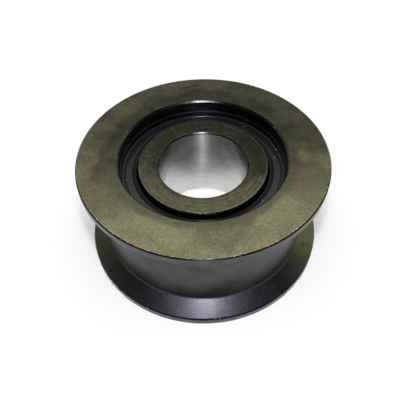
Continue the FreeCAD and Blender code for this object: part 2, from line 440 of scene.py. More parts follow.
@dataclass(frozen=True)
class Finish(ABC):
    """A finish: its name, the dark and the light end of its colour, its roughness, and what lies on it."""

    name: str
    dark: str
    light: str
    roughness: float
    overlays: tuple[Overlay, ...] = ()

    @abstractmethod
    def shader(self, paint: Paint) -> Socket:
        """Add the finish's nodes to a material and give the shader that they feed."""

    def material(self) -> bpy.types.Material:
        """Build the finish as a node material."""
        paint = Paint(self.name)
        return paint.finished(self.shader(paint))

    def tone(self, paint: Paint, share: Socket) -> Socket:
        """Colour that goes from the dark end to the light end with a share."""
        feeds = {0: share, MIX_FROM: linear(self.dark), MIX_TO: linear(self.light)}
        return paint.add("Mix", feeds, MIX_COLOUR, data_type="RGBA")

    def covered(self, paint: Paint, colour: Socket) -> Socket:
        """A colour with every overlay of the finish on top of it, the first one lowest."""
        return functools.reduce(lambda under, overlay: overlay.over(paint, under), self.overlays, colour)

    def swung_roughness(self, paint: Paint, noise: Socket, share: float) -> Socket:
        """The roughness, swung by a share with a noise."""
        return paint.add("Math", {0: paint.swing(noise, share), 1: self.roughness}, operation="MULTIPLY")


@dataclass(frozen=True)
class MachinedSteel(Finish):
    """Machined steel, blackened or bright, with the marks of its last operation.

    Clouds in the oxide shift its tone, a grain breaks up the reflections, and fine lines follow the tool
    round the axis. Grain and lines are drawn coarser than the real ones, which are too fine to show.
    """

    rough_swing: float = 0.15
    cloud_mm: float = 14.0
    cloud_share: float = 0.12
    grain_mm: float = 0.6
    grain_share: float = 0.12
    grain_height_mm: float = 0.006
    lay_mm: float = 0.6
    lay_length_mm: float = 60.0
    lay_share: float = 0.06
    lay_height_mm: float = 0.004
    anisotropy: float = 0.0
    stains_and_sheen: StainsAndPaintedSheen | None = None
    scratches: Scratches | None = None

    def shader(self, paint: Paint) -> Socket:
        """Steel whose colour, roughness and relief follow three noises: clouds, grain and tool lines.

        The lines are a noise on the lay, stretched along the tool's path.

        Args:
            paint: The material.

        Returns:
            The shader.
        """
        clouds = paint.add("TexNoise", {
            "Vector": paint.place, "Scale": per_metre(self.cloud_mm), "Detail": 6.0, "Roughness": 0.62,
            "Distortion": 0.6,
        })
        grain = paint.add("TexNoise", {
            "Vector": paint.place, "Scale": per_metre(self.grain_mm), "Detail": 2.0, "Roughness": 0.65,
        })
        along, across = 1 / self.lay_length_mm, 1 / self.lay_mm
        path = paint.add("Attribute", output="Vector", attribute_name=LAY)
        stretched = paint.add("Mapping", {"Vector": path, "Scale": (along, along, across)})
        lines = paint.add("TexNoise", {"Vector": stretched, "Scale": 1.0, "Detail": 3.0, "Roughness": 0.7})
        grains = paint.add("Bump", {"Height": grain, "Distance": self.grain_height_mm * MM})
        feeds = {
            "Base Color": self.colour(paint, clouds, grain, lines),
            "Metallic": 1.0,
            "Roughness": self.swung_roughness(paint, clouds, self.rough_swing),
            "Normal": paint.add("Bump", {
                "Height": lines, "Distance": self.lay_height_mm * MM, "Normal": grains,
            }),
        }
        if self.anisotropy:
            feeds["Anisotropic"] = self.anisotropy
            feeds["Anisotropic Rotation"] = QUARTER_TURN
            feeds["Tangent"] = paint.add("Tangent", direction_type="UV_MAP", uv_map=UNROLLED)
        return paint.add("BsdfPrincipled", feeds)

    def colour(self, paint: Paint, clouds: Socket, grain: Socket, lines: Socket) -> Socket:
        """Colour from dark to light by stains and painted sheen, else clouds; varied by clouds, grain,
        lines, scratches.

        Args:
            paint: The material.
            clouds: Coarse noise.
            grain: Fine noise.
            lines: Noise along the tool's path.

        Returns:
            The base colour.
        """
        factors = [
            paint.swing(clouds, self.cloud_share),
            paint.swing(grain, self.grain_share),
            paint.swing(lines, self.lay_share),
        ]
        if self.scratches:
            factors.append(self.scratches.factor(paint))
        colour = self.tone(paint, self.stains_and_sheen.mask(paint) if self.stains_and_sheen else paint.spread(clouds, 0.0, 1.0))
        for factor in factors:
            colour = paint.add("VectorMath", {0: colour, "Scale": factor}, operation="SCALE")
        return self.covered(paint, colour)


@dataclass(frozen=True)
class LappedSteel(Finish):
    """Hardened steel lapped to a mirror, with a faint haze."""

    haze_mm: float = 2.5
    haze_growth: float = 2.0

    def shader(self, paint: Paint) -> Socket:
        """Steel whose colour and roughness rise with the haze, the roughness up to haze_growth times.

        Args:
            paint: The material.

        Returns:
            The shader.
        """
        haze = paint.add("TexNoise", {
            "Vector": paint.place, "Scale": per_metre(self.haze_mm), "Detail": 4.0,
        })
        return paint.add("BsdfPrincipled", {
            "Base Color": self.covered(paint, self.tone(paint, haze)),
            "Metallic": 1.0,
            "Roughness": paint.add("MapRange", {
                "Value": haze, "To Min": self.roughness, "To Max": self.roughness * self.haze_growth,
            }),
        })


@dataclass(frozen=True)
class MouldedPolymer(Finish):
    """Moulded rubber or nylon: an even colour with a faint flow mottle and a fine skin.

    The skin is drawn coarser than the real one, which is too fine to show.
    """

    ior: float = 1.52
    specular: float = 0.5
    rough_swing: float = 0.15
    mottle_mm: float = 6.0
    skin_mm: float = 0.5
    skin_height_mm: float = 0.006

    def shader(self, paint: Paint) -> Socket:
        """Polymer whose colour and roughness follow the mottle, with the skin as a bump.

        Args:
            paint: The material.

        Returns:
            The shader.
        """
        mottle, skin = (
            paint.add("TexNoise", {
                "Vector": paint.place, "Scale": per_metre(size), "Detail": detail, "Roughness": 0.6,
            })
            for size, detail in ((self.mottle_mm, 4.0), (self.skin_mm, 2.0))
        )
        return paint.add("BsdfPrincipled", {
            "Base Color": self.covered(paint, self.tone(paint, mottle)),
            "Roughness": self.swung_roughness(paint, mottle, self.rough_swing),
            "IOR": self.ior,
            "Specular IOR Level": self.specular,
            "Normal": paint.add("Bump", {"Height": skin, "Distance": self.skin_height_mm * MM}),
        })


# Heights of the faces that the stains lie on, and the two ends of a score in the pulley's face
FACE_TOP = CAD_BOX[1].z / MM
RING_TOP = float(box_mm("inner_ring")[1][2])
SCORE_ENDS = ((-9.9, 46.4), (-2.4, 49.4))
SCORE_STAINS = 9

DUST = Specks("#a8a8a4", spacing_mm=2.0, size_mm=0.5, share=0.2)
# Bright specks on the broken edges: partly chips in the oxide, partly painted glints
CHIPS_AND_GLINTS = Specks("#b8b8ba", spacing_mm=1.1, size_mm=0.35, share=0.2)
# Bright broken line at the face's outer edge: partly rubbed through the oxide, partly a painted highlight
FACE_EDGE_WEAR_AND_HIGHLIGHT = WornAndHighlitEdges("#c6c6ba", inside=0.0, outside=54.1, bright_peaks=(0.52, 0.66))
FACE_SCORE = Patch("#22221d", StainsAndPaintedSheen(tuple(
    StainAndSheenSpot((x, y, FACE_TOP), 0.5, 0.8) for x, y in np.linspace(*SCORE_ENDS, SCORE_STAINS).tolist()
), border=0.8, wave_mm=1.0, waviness=0.1))
FACE_TONE_PATCHES = StainsAndPaintedSheen((
    StainAndSheenSpot((0, 3, FACE_TOP), 42.5),
    StainAndSheenSpot((-34, 3, FACE_TOP), 11.5),
    StainAndSheenSpot((-36, -7, FACE_TOP), 11.5),
    StainAndSheenSpot((-42, -24, FACE_TOP), 13.0, 0.55),
    StainAndSheenSpot((52, 12, FACE_TOP), 14.0, 0.75),
    StainAndSheenSpot((36, 38, FACE_TOP), 26.0, 0.45),
    StainAndSheenSpot((5, -42, FACE_TOP), 9.0, 0.5),
    StainAndSheenSpot((43, -19, FACE_TOP), 12.0, 0.5),
), kept_radius=40.0)
# Bright broken lines at the ring face's edges: partly rubbed through the oxide, partly a painted highlight
RING_EDGE_WEAR_AND_HIGHLIGHT = WornAndHighlitEdges("#86866c", inside=20.7, outside=28.1, bright_peaks=(0.35, 0.55))
RING_TONE_PATCHES = StainsAndPaintedSheen((
    StainAndSheenSpot((5, 29, RING_TOP), 43.0, 0.66),
    StainAndSheenSpot((24, 6, RING_TOP), 14.0),
), kept_radius=19.0, border=9.0, wave_mm=4.0, waviness=3.0)
# Painted highlight: the flange's colour is lighter and violet in front, where the front lamps' highlight
# falls
CONE_PAINTED_FRONT_HIGHLIGHT = StainsAndPaintedSheen((StainAndSheenSpot((0, 40, -19), 80.0),), border=14.0)
# Painted sheen: a lighter olive patch on one end of the flange, for the warm panel that it mirrors there
CONE_PAINTED_OLIVE_SHEEN = Patch("#57573f", StainsAndPaintedSheen((StainAndSheenSpot((50, -10, -19), 17.0, 0.85),), border=20.0))
CONE_SMUDGE = Patch("#2a2a23", StainsAndPaintedSheen((
    StainAndSheenSpot((47.1, -18.2, -18.7), 1.0, 0.8),
    StainAndSheenSpot((49.5, -17.7, -19.9), 0.8, 0.8),
), border=1.0, wave_mm=1.5, waviness=0.4))

FINISHES: dict[Zone, Finish] = {
    # Turned and blackened: satin grey with faint lines round it and a few slanting scratches from the belt
    Zone.TREAD: MachinedSteel(
        "BlackOxideTurnedTread", "#404042", "#525255", 0.35, lay_share=0.1, scratches=Scratches(),
    ),
    # Blasted and blackened: near black and olive, with a grain that sparkles. It is painted lighter and
    # violet in front, under the front lamps' highlight, and has a painted olive sheen at one end, where a
    # little dirt sits on it
    Zone.CONE: MachinedSteel(
        "BlackOxideBlastedFlange", "#34342a", "#444449", 0.32, (CONE_PAINTED_OLIVE_SHEEN, CONE_SMUDGE), cloud_share=0.06,
        grain_mm=0.4, grain_share=0.7, grain_height_mm=0.035, lay_share=0.0, lay_height_mm=0.0,
        stains_and_sheen=CONE_PAINTED_FRONT_HIGHLIGHT,
    ),
    # Turned and blackened: as the tread, a little finer and lighter
    Zone.RIM: MachinedSteel("BlackOxideTurnedRim", "#4b4b4e", "#59595d", 0.32, lay_mm=0.5, lay_share=0.1),
    # Broken edges keep a thick oxide: nearly black and smooth, with bright specks here and there, partly
    # chips and partly painted glints
    Zone.CHAMFER: MachinedSteel(
        "BlackOxideBrokenEdge", "#292928", "#373737", 0.23, (CHIPS_AND_GLINTS,), grain_height_mm=0.03,
    ),
    # The rims' broken edges keep the thickest oxide: black lines with bright specks here and there, partly
    # chips and partly painted glints
    Zone.RIM_EDGE: MachinedSteel("BlackOxideRimEdge", "#141416", "#202024", 0.35, (CHIPS_AND_GLINTS,)),
    # Ground and blackened: olive grey with clouds and one dark score, darker round the recess and in a few
    # patches, and with a broken bright line at its outer edge, partly rubbed and partly painted highlight
    Zone.FACE: MachinedSteel(
        "BlackOxideGroundFace", "#5a5a48", "#78775e", 0.22, (FACE_SCORE, FACE_EDGE_WEAR_AND_HIGHLIGHT), cloud_mm=9.0,
        cloud_share=0.23, grain_mm=0.8, grain_share=0.25, lay_share=0.02, lay_height_mm=0.0, stains_and_sheen=FACE_TONE_PATCHES,
    ),
    # Turned and blackened, out of reach: near black and dull, with dust that stays in it
    Zone.RECESS: MachinedSteel("BlackOxideTurnedRecess", "#272729", "#353538", 0.42, (DUST,), lay_mm=0.4),
    # Turned and blackened: olive grey with lines round it, mottled where the oxide took unevenly, darker
    # to the far side, and with broken bright lines at its edges, partly rubbed and partly painted highlight
    Zone.RING_FACE: MachinedSteel(
        "BlackOxideTurnedRing", "#3c3c32", "#5a5a48", 0.25, (RING_EDGE_WEAR_AND_HIGHLIGHT,), cloud_mm=2.5, cloud_share=0.3,
        grain_share=0.35, lay_mm=0.8, lay_share=0.3, stains_and_sheen=RING_TONE_PATCHES,
    ),
    # Turned and blackened, down in the gap beside the seal: nearly black
    Zone.RING_WALL: MachinedSteel("BlackOxideRingWall", "#222226", "#303036", 0.3),
    # Ground bright: light grey, with a streak along the bore because the lines go round it
    Zone.BORE: MachinedSteel(
        "BrightGroundBore", "#c6c5c3", "#dad9d7", 0.19, cloud_mm=20.0, cloud_share=0.04, grain_share=0.08,
        grain_height_mm=0.003, lay_height_mm=0.001, anisotropy=1.0,
    ),
    # Ground bright and honed: a light, nearly mirror-like steel
    Zone.TRACK: MachinedSteel("BrightGroundTrack", "#b5b5b6", "#d0d0d2", 0.15, grain_share=0.03),
    # Nitrile rubber from a polished mould: black, half gloss, dusty
    Zone.RUBBER: MouldedPolymer(
        "MouldedNitrileRubber", "#121213", "#1a1a1c", 0.2, (DUST,), specular=0.4, skin_height_mm=0.012,
    ),
    # The same rubber on the lip beside the ring, painted darker for the shade that the ring casts on it:
    # black, with thin lights on its ridges
    Zone.LIP_IN_PAINTED_SHADE: MouldedPolymer("GreasedNitrileLip", "#08080a", "#0c0c0e", 0.2, specular=0.4),
    # Natural nylon from a fine mould: cream and matt
    Zone.NYLON: MouldedPolymer("MouldedNylonCage", "#b8ac8c", "#cfc4a6", 0.45, ior=1.53),
    # Chrome steel, hardened and lapped: a bright mirror
    Zone.BALL: LappedSteel("LappedChromeSteelBall", "#c4c4c7", "#dcdcde", 0.07),
}


@functools.cache
def material_of(zone: Zone) -> bpy.types.Material:
    """A zone's finish as a material, made the first time that it is asked for."""
    return FINISHES[zone].material()


@dataclass(frozen=True)
class Section:
    """Closed half section of a turned piece, counter-clockwise with the radius to the right, height up."""

    rows: list[Row]

    @classmethod
    def mirrored(cls, rows: list[Row], closing: Zone) -> "Section":
        """Complete the rows of an upper half with its mirror image below z = 0.

        Args:
            rows: Corners of the upper half, from the outside to the inside.
            closing: Finish of the run that joins the two halves on the outside.

        Returns:
            The whole section.
        """
        zones = [closing] + [row[3] for row in rows[:-1]]
        lower = [(radius, -height, edge, zone) for (radius, height, edge, _), zone in zip(rows, zones)]
        return cls(rows + lower[::-1])

    def rounded(self) -> tuple[np.ndarray, list[Zone]]:
        """Round every corner and add support points beside it, so that flats stay flat when shaded.

        With a and b the directions into and out of a corner that turns by an angle t, and n square to a on
        the side of b, an arc of radius q starts q tan(t/2) before the corner and runs through
        start + q (sin(u) a + (1 - cos(u)) n), with u from 0 to t.

        Returns:
            Points (radius, height) in order, and the finish of the run that starts at each.
        """
        corners = np.array([row[:2] for row in self.rows])
        rounding = np.array([row[2] for row in self.rows])
        step_in = corners - np.roll(corners, 1, axis=0)
        length_in = np.linalg.norm(step_in, axis=1)
        a = step_in / length_in[:, None]
        b = np.roll(a, -1, axis=0)
        length_out = np.roll(length_in, -1)
        cross = a[:, 0] * b[:, 1] - a[:, 1] * b[:, 0]
        turn = np.abs(np.arctan2(cross, np.sum(a * b, axis=1)))
        n = np.stack([-a[:, 1], a[:, 0]], axis=1) * np.sign(cross)[:, None]
        reach = rounding * np.tan(turn / 2)
        straight_in = length_in - reach - np.roll(reach, 1)
        straight_out = length_out - reach - np.roll(reach, -1)

        counts = np.where(rounding > 0, ARC_POINTS + 2, 1)
        at = np.repeat(np.arange(len(counts)), counts)
        place = np.arange(len(at)) - np.repeat(np.cumsum(counts) - counts, counts)
        round_here = rounding[at] > 0
        angle = np.clip((place - 1) / (ARC_POINTS - 1), 0, 1) * turn[at]
        arc = np.sin(angle)[:, None] * a[at] + (1 - np.cos(angle))[:, None] * n[at]
        points = corners[at] - reach[at, None] * a[at] + rounding[at, None] * arc
        before = round_here & (place == 0)
        after = round_here & (place == ARC_POINTS + 1)
        points -= (before * np.minimum(SUPPORT_MM, SUPPORT_SHARE * straight_in[at]))[:, None] * a[at]
        points += (after * np.minimum(SUPPORT_MM, SUPPORT_SHARE * straight_out[at]))[:, None] * b[at]
        first_half = round_here & (place <= ARC_POINTS // 2)
        zones = [self.rows[i - 1 if early else i][3] for i, early in zip(at, first_half)]
        return points, zones


@dataclass(frozen=True)
class BallTrack:
    """Groove of circular section that the balls run in."""

    radius: float
    bottom: float
    height: float
    shoulder: float
    edge: float

    def rows(self, above: Zone) -> list[Row]:
        """Corners of the groove, from its lower edge to its upper edge.

        The circle's centre lies one radius from the bottom, on the side of the shoulder, and the circle
        meets the shoulder at the angle whose cosine is (shoulder - centre) / radius.

        Args:
            above: Finish of the run above the groove.

        Returns:
            The rows.
        """
        outwards = self.bottom > self.shoulder
        centre = self.bottom - self.radius if outwards else self.bottom + self.radius
        half = math.acos((self.shoulder - centre) / self.radius)
        angles = np.linspace(-half if outwards else TAU - half, half, TRACK_POINTS)
        radii = centre + self.radius * np.cos(angles)
        heights = self.height + self.radius * np.sin(angles)
        rounding = np.zeros(TRACK_POINTS)
        rounding[[0, -1]] = self.edge
        zones = [Zone.TRACK] * (TRACK_POINTS - 1) + [above]
        return list(zip(radii.tolist(), heights.tolist(), rounding.tolist(), zones))


@dataclass(frozen=True)
class Dent:
    """A small knock in an edge that presses the metal towards the axis."""

    turn_deg: float
    height: float
    width: float
    depth: float

    def press(self, points: np.ndarray) -> np.ndarray:
        """Move points inwards by a bell curve of their distance from the dent.

        Args:
            points: Points in millimetres.

        Returns:
            The moved points.
        """
        radius = np.hypot(points[..., 0], points[..., 1])
        off = np.arctan2(points[..., 1], points[..., 0]) - math.radians(self.turn_deg)
        along = radius * ((off + math.pi) % TAU - math.pi)
        bell = np.exp(-((along / self.width) ** 2) - ((points[..., 2] - self.height) / self.width) ** 2)
        share = 1 - self.depth * bell / radius
        return points * np.stack([share, share, np.ones_like(share)], axis=-1)


@dataclass(frozen=True)
class Label:
    """A piece's name, the body that it rides on, its material slot and the node that it stands for."""

    name: str
    body: str
    slot: str
    node: str


class SubAssembly(ABC):
    """What the pulley's sub-assemblies share: putting meshes into the scene and giving them finishes."""

    @abstractmethod
    def build(self) -> list[bpy.types.Object]:
        """Make the pieces of the sub-assembly and dress them."""

    def place(self, label: Label, mesh: bpy.types.Mesh) -> bpy.types.Object:
        """Put a mesh into the scene as a piece.

        Args:
            label: Name, body and CAD node of the piece.
            mesh: Its mesh, in metres, in the shared frame.

        Returns:
            The piece.
        """
        piece = bpy.data.objects.new(label.name, mesh)
        bpy.context.scene.collection.objects.link(piece)
        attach(piece, label.body)
        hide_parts(label.node)
        return piece

    def dress(self, piece: bpy.types.Object, zones: list[Zone]) -> None:
        """Give a piece the finishes of its zones, one material slot each, and smooth shading.

        Args:
            piece: The piece.
            zones: Its zones, in the order of its material slots.
        """
        for zone in zones:
            piece.data.materials.append(material_of(zone))
        piece.data.shade_smooth()


class TurnedPart(SubAssembly):
    """A piece that is one section carried round the axis."""

    side: Side = Side.UPPER
    dents: tuple[Dent, ...] = ()

    @abstractmethod
    def label(self) -> Label:
        """The piece's label."""

    @abstractmethod
    def section(self) -> Section:
        """Half section of the piece, for the upper half of the bearing where it has a side."""

    def build(self) -> list[bpy.types.Object]:
        """Carry the section round the axis and dress it.

        Returns:
            The piece.
        """
        outline, zones = self.section().rounded()
        used = list(dict.fromkeys(zones))
        mesh = self.revolved(outline)
        slots = np.array([used.index(zone) for zone in zones])
        mesh.polygons.foreach_set("material_index", np.tile(slots, TURN_STEPS))
        piece = self.place(self.label(), mesh)
        self.dress(piece, used)
        return [piece]

    def revolved(self, outline: np.ndarray) -> bpy.types.Mesh:
        """Closed mesh of an outline that goes once round the axis.

        A point at turn t and outline point (r, z) is (r cos t, r sin t, z). With R the outline's middle
        radius and w the way along it, the unrolled map holds (R t, w) in metres, and the lay holds
        (R cos t, R sin t, w) in millimetres, so that a pattern on it has no seam.

        Args:
            outline: Points (radius, height) of the section, in order.

        Returns:
            The mesh.
        """
        count = len(outline)
        radius, height = outline.T
        middle = radius.mean()
        way = np.append(0, np.cumsum(np.linalg.norm(np.roll(outline, -1, axis=0) - outline, axis=1)))
        turn = TURN_START + np.arange(TURN_STEPS + 1) * TAU / TURN_STEPS
        points = np.stack([
            np.outer(np.cos(turn[:-1]), radius),
            np.outer(np.sin(turn[:-1]), radius),
            np.broadcast_to(height, (TURN_STEPS, count)),
        ], axis=-1)
        for dent in self.dents:
            points = dent.press(points)
        points = self.side.turned(points.reshape(-1, 3)) * MM

        step, place = np.meshgrid(np.arange(TURN_STEPS), np.arange(count), indexing="ij")
        steps = np.stack([step, step + 1, step + 1, step], axis=-1).reshape(-1, 4)
        places = np.stack([place, place, place + 1, place + 1], axis=-1).reshape(-1, 4)
        quads = (steps % TURN_STEPS) * count + places % count
        mesh = bpy.data.meshes.new(self.label().name)
        mesh.from_pydata(points, [], quads.tolist())
        unrolled = np.stack([middle * (turn - TURN_START)[steps], way[places]], axis=-1) * MM
        mesh.uv_layers.new(name=UNROLLED).data.foreach_set("uv", unrolled.ravel())
        lay = np.stack([middle * np.cos(turn)[steps], middle * np.sin(turn)[steps], way[places]], axis=-1)
        mesh.attributes.new(LAY, "FLOAT_VECTOR", "CORNER").data.foreach_set("vector", lay.ravel())
        return mesh


@dataclass
class PulleyRing(TurnedPart):
    """The pulley, turned from one piece, with the outer ball tracks inside it."""

    tread_radius: float = 47.0
    rim_width: float = 3.8
    flange_angle_deg: float = 29.0
    root_fillet: float = 0.7
    rim_chamfer: float = 0.5
    mouth_chamfer: float = 0.8
    recess_radius: float = 36.7
    ledge_height: float = 19.0
    seat_radius: float = 36.2
    shoulder_radius: float = 35.5
    track_radius: float = 5.72
    track_bottom: float = 37.85
    sharp_edge: float = 0.12
    face_edge: float = 0.2
    dent_reach: float = 1.2
    dents: tuple[Dent, ...] = (
        Dent(turn_deg=-101, height=-21.3, width=0.6, depth=0.25),
        Dent(turn_deg=-78, height=-21.4, width=0.5, depth=0.2),
    )

    def label(self) -> Label:
        """The pulley's label."""
        return Label("turned_pulley", "pulley", "blackened_steel", "pulley_ring")

    def section(self) -> Section:
        """Half section from the tread up over the flange, into the recess and down to the ball tracks.

        A row of its own on the flange ends the stretch near the rim that the dents bend.

        Returns:
            The section of both halves.
        """
        _, high = box_mm("pulley_ring")
        rim, face = high[0], high[2]
        seat_floor = box_mm("upper_seal")[0][2]
        slope = math.radians(self.flange_angle_deg)
        rim_edge = face - self.rim_width
        tread_edge = rim_edge - (rim - self.tread_radius) * math.tan(slope)
        edge, cut = self.sharp_edge, self.rim_chamfer
        track = BallTrack(self.track_radius, self.track_bottom, row_height(), self.shoulder_radius, edge)
        bent = cut + self.dent_reach
        rows = [
            (self.tread_radius, tread_edge, self.root_fillet, Zone.CONE),
            (rim - bent * math.cos(slope), rim_edge - bent * math.sin(slope), 0.0, Zone.CONE),
            (rim - cut * math.cos(slope), rim_edge - cut * math.sin(slope), edge, Zone.RIM_EDGE),
            (rim, rim_edge + cut, edge, Zone.RIM),
            (rim, face - cut, edge, Zone.RIM_EDGE),
            (rim - cut, face, self.face_edge, Zone.FACE),
            (self.recess_radius + self.mouth_chamfer, face, self.face_edge, Zone.CHAMFER),
            (self.recess_radius, face - self.mouth_chamfer, edge, Zone.RECESS),
            (self.recess_radius, self.ledge_height, edge, Zone.RECESS),
            (self.seat_radius, self.ledge_height, edge, Zone.RECESS),
            (self.seat_radius, seat_floor, edge, Zone.RECESS),
            (self.shoulder_radius, seat_floor, edge, Zone.TRACK),
            *track.rows(Zone.TRACK)[::-1],
        ]
        return Section.mirrored(rows, Zone.TREAD)


@dataclass
class InnerRing(TurnedPart):
    """The bearing's inner ring, which stays still on the pin."""

    bore_chamfer: float = 0.5
    black_edge: float = 0.4
    ring_chamfer: float = 0.5
    track_radius: float = 5.72
    track_bottom: float = 26.65
    sharp_edge: float = 0.12
    face_edge: float = 0.25

    def label(self) -> Label:
        """The ring's label."""
        return Label("ground_inner_ring", "inner_ring", "bearing_steel", "inner_ring")

    def section(self) -> Section:
        """Half section from the ball tracks up the outside, over the face and down the bore.

        The bore is nearly black for a little way below its upper chamfer.

        Returns:
            The section of both halves.
        """
        _, high = box_mm("inner_ring")
        shoulder, face = high[0], high[2]
        bore = next(mount for mount in frame["record"]["mounts"] if mount["name"] == "pin_bore")
        bore_radius = bore["dims"]["r_mm"]
        edge = self.sharp_edge
        track = BallTrack(self.track_radius, self.track_bottom, row_height(), shoulder, edge)
        rows = [
            *track.rows(Zone.RING_WALL),
            (shoulder, face - self.ring_chamfer, edge, Zone.CHAMFER),
            (shoulder - self.ring_chamfer, face, self.face_edge, Zone.RING_FACE),
            (bore_radius + self.bore_chamfer, face, self.face_edge, Zone.CHAMFER),
            (bore_radius, face - self.bore_chamfer, edge, Zone.BORE),
        ]
        both = Section.mirrored(rows, Zone.TRACK).rows
        black = [
            (bore_radius, face - self.bore_chamfer, edge, Zone.RING_WALL),
            (bore_radius, face - self.bore_chamfer - self.black_edge, 0.0, Zone.BORE),
        ]
        return Section(rows[:-1] + black + both[len(rows):])


@dataclass
class Seal(TurnedPart):
    """A rubber seal: a band in its seat, a flat membrane and a ridged lip beside the inner ring."""

    side: Side
    band_width: float = 1.0
    band_drop: float = 0.2
    groove_width: float = 0.5
    groove_depth: float = 0.7
    membrane: float = 1.6
    lip_slope: float = 0.65
    lip_fall: float = 0.9
    lip_tip: float = 0.4
    ridge_count: int = 2
    ridge_width: float = 0.55
    ridge_drop: float = 0.25
    ridge_groove: float = 0.25
    ridge_depth: float = 0.4
    squeeze: float = 0.05
    lip_clearance: float = 0.15
    band_round: float = 0.4
    face_round: float = 0.3
    root_round: float = 0.25
    ridge_round: float = 0.25
    edge: float = 0.08

    def label(self) -> Label:
        """The seal's label."""
        return Label(f"{self.side.value}_rubber_seal", "pulley", "seal_rubber", f"{self.side.value}_seal")

    def section(self) -> Section:
        """Half section from the outside of the band over the face to the lip and back underneath.

        Returns:
            The section of the upper seal.
        """
        low, high = box_mm("upper_seal")
        outside, back, face = high[0], low[2], high[2]
        lip_end = box_mm("inner_ring")[1][0] + self.lip_clearance
        band_inside = outside - self.squeeze - self.band_width
        groove_inside = band_inside - self.groove_width
        ridge_top = face - self.ridge_drop
        ridge_floor = ridge_top - self.ridge_depth
        slope_top = lip_end + self.lip_slope
        pitch = self.ridge_width + self.ridge_groove
        lip_root = slope_top + self.ridge_count * pitch
        tip_top = ridge_top - self.lip_fall
        rows = [
            (outside, back, self.edge, Zone.RUBBER),
            (outside, face - self.band_drop, self.edge, Zone.RUBBER),
            (band_inside, face - self.band_drop, self.band_round, Zone.RUBBER),
            (band_inside, face - self.groove_depth, self.edge, Zone.RUBBER),
            (groove_inside, face - self.groove_depth, self.edge, Zone.RUBBER),
            (groove_inside, face, self.face_round, Zone.RUBBER),
            # From the lip's root inwards the rubber is painted darker, for the shade of the inner ring
            (lip_root, face, self.root_round, Zone.LIP_IN_PAINTED_SHADE),
        ]
        for number in reversed(range(self.ridge_count)):
            inner = slope_top + number * pitch
            rows += [
                (inner + pitch, ridge_floor, self.edge, Zone.LIP_IN_PAINTED_SHADE),
                (inner + self.ridge_width, ridge_floor, self.edge, Zone.LIP_IN_PAINTED_SHADE),
                (inner + self.ridge_width, ridge_top, self.ridge_round, Zone.LIP_IN_PAINTED_SHADE),
                (inner, ridge_top, self.ridge_round, Zone.LIP_IN_PAINTED_SHADE),
            ]
        rows += [
            (lip_end, tip_top, self.edge, Zone.LIP_IN_PAINTED_SHADE),
            (lip_end, tip_top - self.lip_tip, self.edge, Zone.RUBBER),
            (lip_root, face - self.membrane, self.edge, Zone.RUBBER),
            (groove_inside, face - self.membrane, self.edge, Zone.RUBBER),
            (groove_inside, back, self.edge, Zone.RUBBER),
        ]
        return Section(rows)


@dataclass
class BallRow(SubAssembly):
    """One row of balls in its snap-in cage, hidden behind a seal."""

    side: Side
    ball_count: int = 10
    polar_steps: int = 24
    turn_steps: int = 48
    merge_mm: float = 0.002
    crisp_edge_deg: float = 35.0

    def ball(self, label: Label) -> bpy.types.Mesh:
        """Sphere in the place of a CAD ball.

        A point at polar angle p and turn t is centre + radius (sin p cos t, sin p sin t, cos p), with one
        vertex at each pole.

        Args:
            label: The ball's label.

        Returns:
            The ball's mesh.
        """
        low, high = box_mm(label.node)
        centre, radius = (low + high) / 2, (high[2] - low[2]) / 2
        polar = np.linspace(0, math.pi, self.polar_steps + 1)[1:-1, None]
        turn = np.arange(self.turn_steps) * TAU / self.turn_steps
        rings = np.stack([
            np.sin(polar) * np.cos(turn),
            np.sin(polar) * np.sin(turn),
            np.broadcast_to(np.cos(polar), (self.polar_steps - 1, self.turn_steps)),
        ], axis=-1).reshape(-1, 3)
        poles = np.array([[0, 0, 1], [0, 0, -1]])
        points = (centre + radius * np.concatenate([rings, poles])) * MM
        here = np.arange(len(rings)).reshape(self.polar_steps - 1, self.turn_steps)
        beside = np.roll(here, -1, axis=1)
        quads = np.stack([here[:-1], here[1:], beside[1:], beside[:-1]], axis=-1).reshape(-1, 4)
        top, bottom = np.full(self.turn_steps, len(rings)), np.full(self.turn_steps, len(rings) + 1)
        caps = np.concatenate([
            np.stack([top, here[0], beside[0]], axis=-1),
            np.stack([bottom, beside[-1], here[-1]], axis=-1),
        ])
        mesh = bpy.data.meshes.new(label.name)
        mesh.from_pydata(points, [], quads.tolist() + caps.tolist())
        return mesh

    def cage(self, label: Label) -> bpy.types.Mesh:
        """Copy of a CAD cage whose loose triangles are merged into one skin.

        Args:
            label: The cage's label.

        Returns:
            The cage's mesh.
        """
        loose = frame["nodes"][label.node].data
        points = np.empty(len(loose.vertices) * 3)
        loose.vertices.foreach_get("co", points)
        points = points.reshape(-1, 3)
        corners = np.empty(len(loose.loops), dtype=int)
        loose.loops.foreach_get("vertex_index", corners)
        grid = np.round(points / (self.merge_mm * MM))
        _, first, merged = np.unique(grid, axis=0, return_index=True, return_inverse=True)
        faces = merged.ravel()[corners].reshape(-1, 3)
        sound = (faces != np.roll(faces, 1, axis=1)).all(axis=1)
        mesh = bpy.data.meshes.new(label.name)
        mesh.from_pydata(points[first], [], faces[sound].tolist())
        return mesh

    def build(self) -> list[bpy.types.Object]:
        """Make the cage and the balls of this row, each on its own body.

        Returns:
            The cage and the balls.
        """
        row = self.side.value
        label = Label(f"{row}_moulded_cage", f"{row}_cage", "cage_nylon", f"{row}_cage")
        cage = self.place(label, self.cage(label))
        self.dress(cage, [Zone.NYLON])
        cage.data.set_sharp_from_angle(angle=math.radians(self.crisp_edge_deg))
        pieces = [cage]
        for number in range(1, self.ball_count + 1):
            node = f"{row}_ball_{number:02d}"
            label = Label(f"{row}_lapped_ball_{number:02d}", node, "ball_steel", node)
            ball = self.place(label, self.ball(label))
            self.dress(ball, [Zone.BALL])
            pieces.append(ball)
        return pieces


